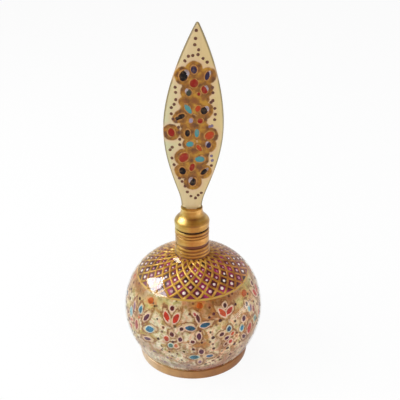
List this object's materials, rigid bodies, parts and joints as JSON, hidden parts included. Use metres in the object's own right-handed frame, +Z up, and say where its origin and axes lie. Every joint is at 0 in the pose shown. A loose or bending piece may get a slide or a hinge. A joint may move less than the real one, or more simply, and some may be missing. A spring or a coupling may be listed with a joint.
{
  "type": "kohl pot",
  "caption": "Round lidded kohl pot: a turned, painted and lacquered bulb on a gilt foot, with a push-fit stopper that has a flat leaf grip and a kohl rod.",
  "frame": {"origin": "centre of the foot, on the surface the pot stands on", "axes": "+Z up along the turning axis; the leaf's flat faces look along -Y and +Y, and it leans a little to +X"},
  "size_m": [0.056, 0.056, 0.14],
  "materials": {
    "painted_wood": "painted ornament under thick clear lacquer, glossy",
    "plain_wood": "turned, unpolished",
    "gilt": "satin gold paint on turned wood",
    "bone": "polished ivory-coloured bone, painted on the leaf",
    "leather": "dark, thin"
  },
  "bodies": {
    "pot": {"foot_ring": "gilt", "base_disc": "plain_wood", "bulb": "painted_wood", "neck_tube": "plain_wood", "neck_collar": "gilt", "neck_ring": "gilt"},
    "seal": {"seal_washer": "leather"},
    "stopper": {"stopper_cap": "gilt", "spigot": "bone", "applicator_rod": "bone", "leaf_blade": "bone"}
  },
  "joints": [
    {"name": "stopper_lift", "type": "slide", "parent": "pot", "child": "seal", "axis": [0, 0, 1], "range_m": [0, 0.055]},
    {"name": "stopper_turn", "type": "hinge", "parent": "seal", "child": "stopper", "pos_m": [0, 0, 0.0578], "axis": [0, 0, 1], "continuous": true}
  ]
}
